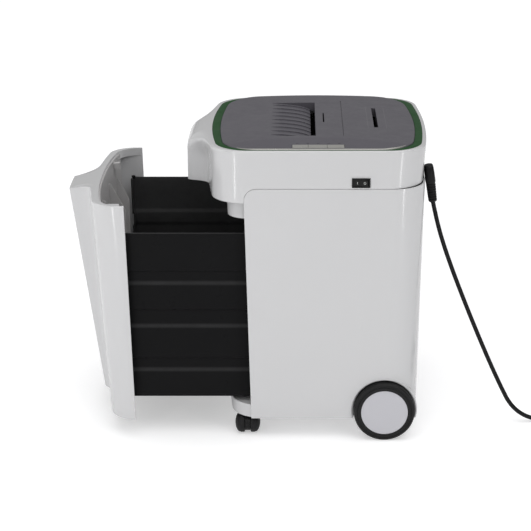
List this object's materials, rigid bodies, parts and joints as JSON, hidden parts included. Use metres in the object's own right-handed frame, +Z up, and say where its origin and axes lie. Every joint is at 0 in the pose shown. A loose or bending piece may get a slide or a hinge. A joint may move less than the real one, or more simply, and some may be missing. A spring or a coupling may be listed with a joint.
{
  "type": "paper shredder",
  "caption": "Upright office paper shredder on wheels: head with feed ramp and disc slot, pull-out waste bin behind a bulged front panel, rear mains lead.",
  "frame": {"origin": "on the floor, under the centre of the box around the machine with its bin pulled out, cord left out", "axes": "+Z up, -Y towards the user (the bin slides out that way), +X towards the side with the power switch"},
  "size_m": [0.38, 0.9124, 0.5155],
  "materials": {
    "white_shell": "gloss",
    "tray_white": "satin",
    "lid_grey": "satin metallic",
    "trim_green": "gloss",
    "bin_black": "satin",
    "liner_grey": "matt",
    "key_silver": "satin",
    "black_plastic": "satin",
    "hub_grey": "matt",
    "tyre_black": "matt",
    "cord_black": "satin",
    "steel": "ground",
    "plate_steel": "zinc plated",
    "bronze": "sintered",
    "gear_nylon": "satin",
    "motor_metal": "satin",
    "board_green": "satin",
    "pin_brass": "nickel plated"
  },
  "bodies": {
    "cabinet": {"cabinet_shell": "white_shell", "base_plate": "tray_white", "base_rails": "tray_white", "wheel_arches": "tray_white", "rear_axle": "steel", "axle_clips": "plate_steel", "head_housing": "white_shell", "head_tray": "tray_white", "trim_ring": "trim_green", "top_panel": "lid_grey", "control_board": "board_green", "switch_body": "black_plastic", "appliance_inlet": "black_plastic", "interlock_switch": "black_plastic", "frame_plate_gear_side": "plate_steel", "frame_plate_far_side": "plate_steel", "tie_rods": "steel", "shaft_bushes": "bronze", "comb_front": "gear_nylon", "comb_rear": "gear_nylon", "gear_pins": "steel", "motor_case": "motor_metal", "gear_cover": "black_plastic", "paper_guide": "black_plastic", "cd_guide": "black_plastic", "connector": "cord_black", "cord_tube": "cord_black", "cord_coil": "cord_black", "cord_tie": "black_plastic", "mains_plug": "cord_black"},
    "drawer": {"bin": "bin_black", "front_panel": "white_shell", "panel_liner": "liner_grey", "drawer_runners": "bin_black", "panel_screws": "plate_steel"},
    "cutter_front": {"cutter_shaft_front": "steel", "cutter_discs_front": "steel", "cutter_gear_front": "steel"},
    "cutter_rear": {"cutter_shaft_rear": "steel", "cutter_discs_rear": "steel", "cutter_gear_rear": "steel"},
    "idler": {"idler_gear": "gear_nylon"},
    "cd_cutter_front": {"cd_roller_front": "steel"},
    "cd_cutter_rear": {"cd_roller_rear": "steel"},
    "inner_gear": {"compound_gear_inner": "gear_nylon"},
    "outer_gear": {"compound_gear_outer": "gear_nylon"},
    "motor_shaft": {"motor_pinion": "steel"},
    "front_key": {"key_front": "key_silver"},
    "middle_key": {"key_middle": "key_silver"},
    "rear_key": {"key_rear": "key_silver"},
    "rocker": {"switch_rocker": "black_plastic"},
    "interlock": {"interlock_plunger": "black_plastic"},
    "wheel_right": {"tyre_right": "tyre_black", "hub_right": "hub_grey"},
    "wheel_left": {"tyre_left": "tyre_black", "hub_left": "hub_grey"},
    "castor_right": {"castor_fork_right": "black_plastic"},
    "castor_left": {"castor_fork_left": "black_plastic"},
    "castor_roll_right": {"castor_wheels_right": "tyre_black"},
    "castor_roll_left": {"castor_wheels_left": "tyre_black"}
  },
  "joints": [
    {"name": "drawer_slide", "type": "slide", "parent": "cabinet", "child": "drawer", "axis": [0, -1, 0], "range_m": [-0.1965, 0.045]},
    {"name": "cutter_spin", "type": "hinge", "parent": "cabinet", "child": "cutter_front", "pos_m": [0, 0.1065, 0.455], "axis": [1, 0, 0], "continuous": true},
    {"name": "cutter_rear_spin", "type": "hinge", "parent": "cabinet", "child": "cutter_rear", "pos_m": [0, 0.1435, 0.455], "axis": [1, 0, 0], "continuous": true},
    {"name": "idler_spin", "type": "hinge", "parent": "cabinet", "child": "idler", "pos_m": [0, 0.17893, 0.45284], "axis": [1, 0, 0], "continuous": true},
    {"name": "cd_front_spin", "type": "hinge", "parent": "cabinet", "child": "cd_cutter_front", "pos_m": [0, 0.2075, 0.462], "axis": [1, 0, 0], "continuous": true},
    {"name": "cd_rear_spin", "type": "hinge", "parent": "cabinet", "child": "cd_cutter_rear", "pos_m": [0, 0.2335, 0.462], "axis": [1, 0, 0], "continuous": true},
    {"name": "inner_gear_spin", "type": "hinge", "parent": "cabinet", "child": "inner_gear", "pos_m": [0, 0.08528, 0.44275], "axis": [1, 0, 0], "continuous": true},
    {"name": "outer_gear_spin", "type": "hinge", "parent": "cabinet", "child": "outer_gear", "pos_m": [0, 0.05968, 0.44727], "axis": [1, 0, 0], "continuous": true},
    {"name": "motor_spin", "type": "hinge", "parent": "cabinet", "child": "motor_shaft", "pos_m": [0, 0.03129, 0.44975], "axis": [1, 0, 0], "continuous": true},
    {"name": "front_key_press", "type": "slide", "parent": "cabinet", "child": "front_key", "axis": [-0.134, 0, -0.991], "range_m": [0, 0.0012], "stiffness_N_per_m": 300},
    {"name": "middle_key_press", "type": "slide", "parent": "cabinet", "child": "middle_key", "axis": [-0.134, 0, -0.991], "range_m": [0, 0.0012], "stiffness_N_per_m": 300},
    {"name": "rear_key_press", "type": "slide", "parent": "cabinet", "child": "rear_key", "axis": [-0.134, 0, -0.991], "range_m": [0, 0.0012], "stiffness_N_per_m": 300},
    {"name": "rocker_tilt", "type": "hinge", "parent": "cabinet", "child": "rocker", "pos_m": [0.18, 0.191, 0.456], "axis": [0, 0, 1], "range_deg": [0, 14]},
    {"name": "interlock_press", "type": "slide", "parent": "cabinet", "child": "interlock", "axis": [0, 1, 0], "range_m": [0, 0.003], "stiffness_N_per_m": 150},
    {"name": "wheel_spin_right", "type": "hinge", "parent": "cabinet", "child": "wheel_right", "pos_m": [0.18, 0.2353, 0.052], "axis": [1, 0, 0], "continuous": true},
    {"name": "castor_swivel_right", "type": "hinge", "parent": "cabinet", "child": "castor_right", "pos_m": [0.14, 0.002, 0.045], "axis": [0, 0, 1], "continuous": true},
    {"name": "castor_spin_right", "type": "hinge", "parent": "castor_right", "child": "castor_roll_right", "pos_m": [0.15, 0.002, 0.018], "axis": [0, 1, 0], "continuous": true},
    {"name": "wheel_spin_left", "type": "hinge", "parent": "cabinet", "child": "wheel_left", "pos_m": [-0.18, 0.2353, 0.052], "axis": [1, 0, 0], "continuous": true},
    {"name": "castor_swivel_left", "type": "hinge", "parent": "cabinet", "child": "castor_left", "pos_m": [-0.14, 0.002, 0.045], "axis": [0, 0, 1], "continuous": true},
    {"name": "castor_spin_left", "type": "hinge", "parent": "castor_left", "child": "castor_roll_left", "pos_m": [-0.15, 0.002, 0.018], "axis": [0, 1, 0], "continuous": true}
  ],
  "couplings": [
    {"joint": "cutter_rear_spin", "follows": "cutter_spin", "ratio": -1},
    {"joint": "idler_spin", "follows": "cutter_spin", "ratio": 1.0882},
    {"joint": "cd_front_spin", "follows": "cutter_spin", "ratio": -1.4231},
    {"joint": "cd_rear_spin", "follows": "cutter_spin", "ratio": 1.4231},
    {"joint": "inner_gear_spin", "follows": "cutter_spin", "ratio": -3.0833},
    {"joint": "outer_gear_spin", "follows": "cutter_spin", "ratio": 10.278},
    {"joint": "motor_spin", "follows": "cutter_spin", "ratio": -38.542}
  ]
}
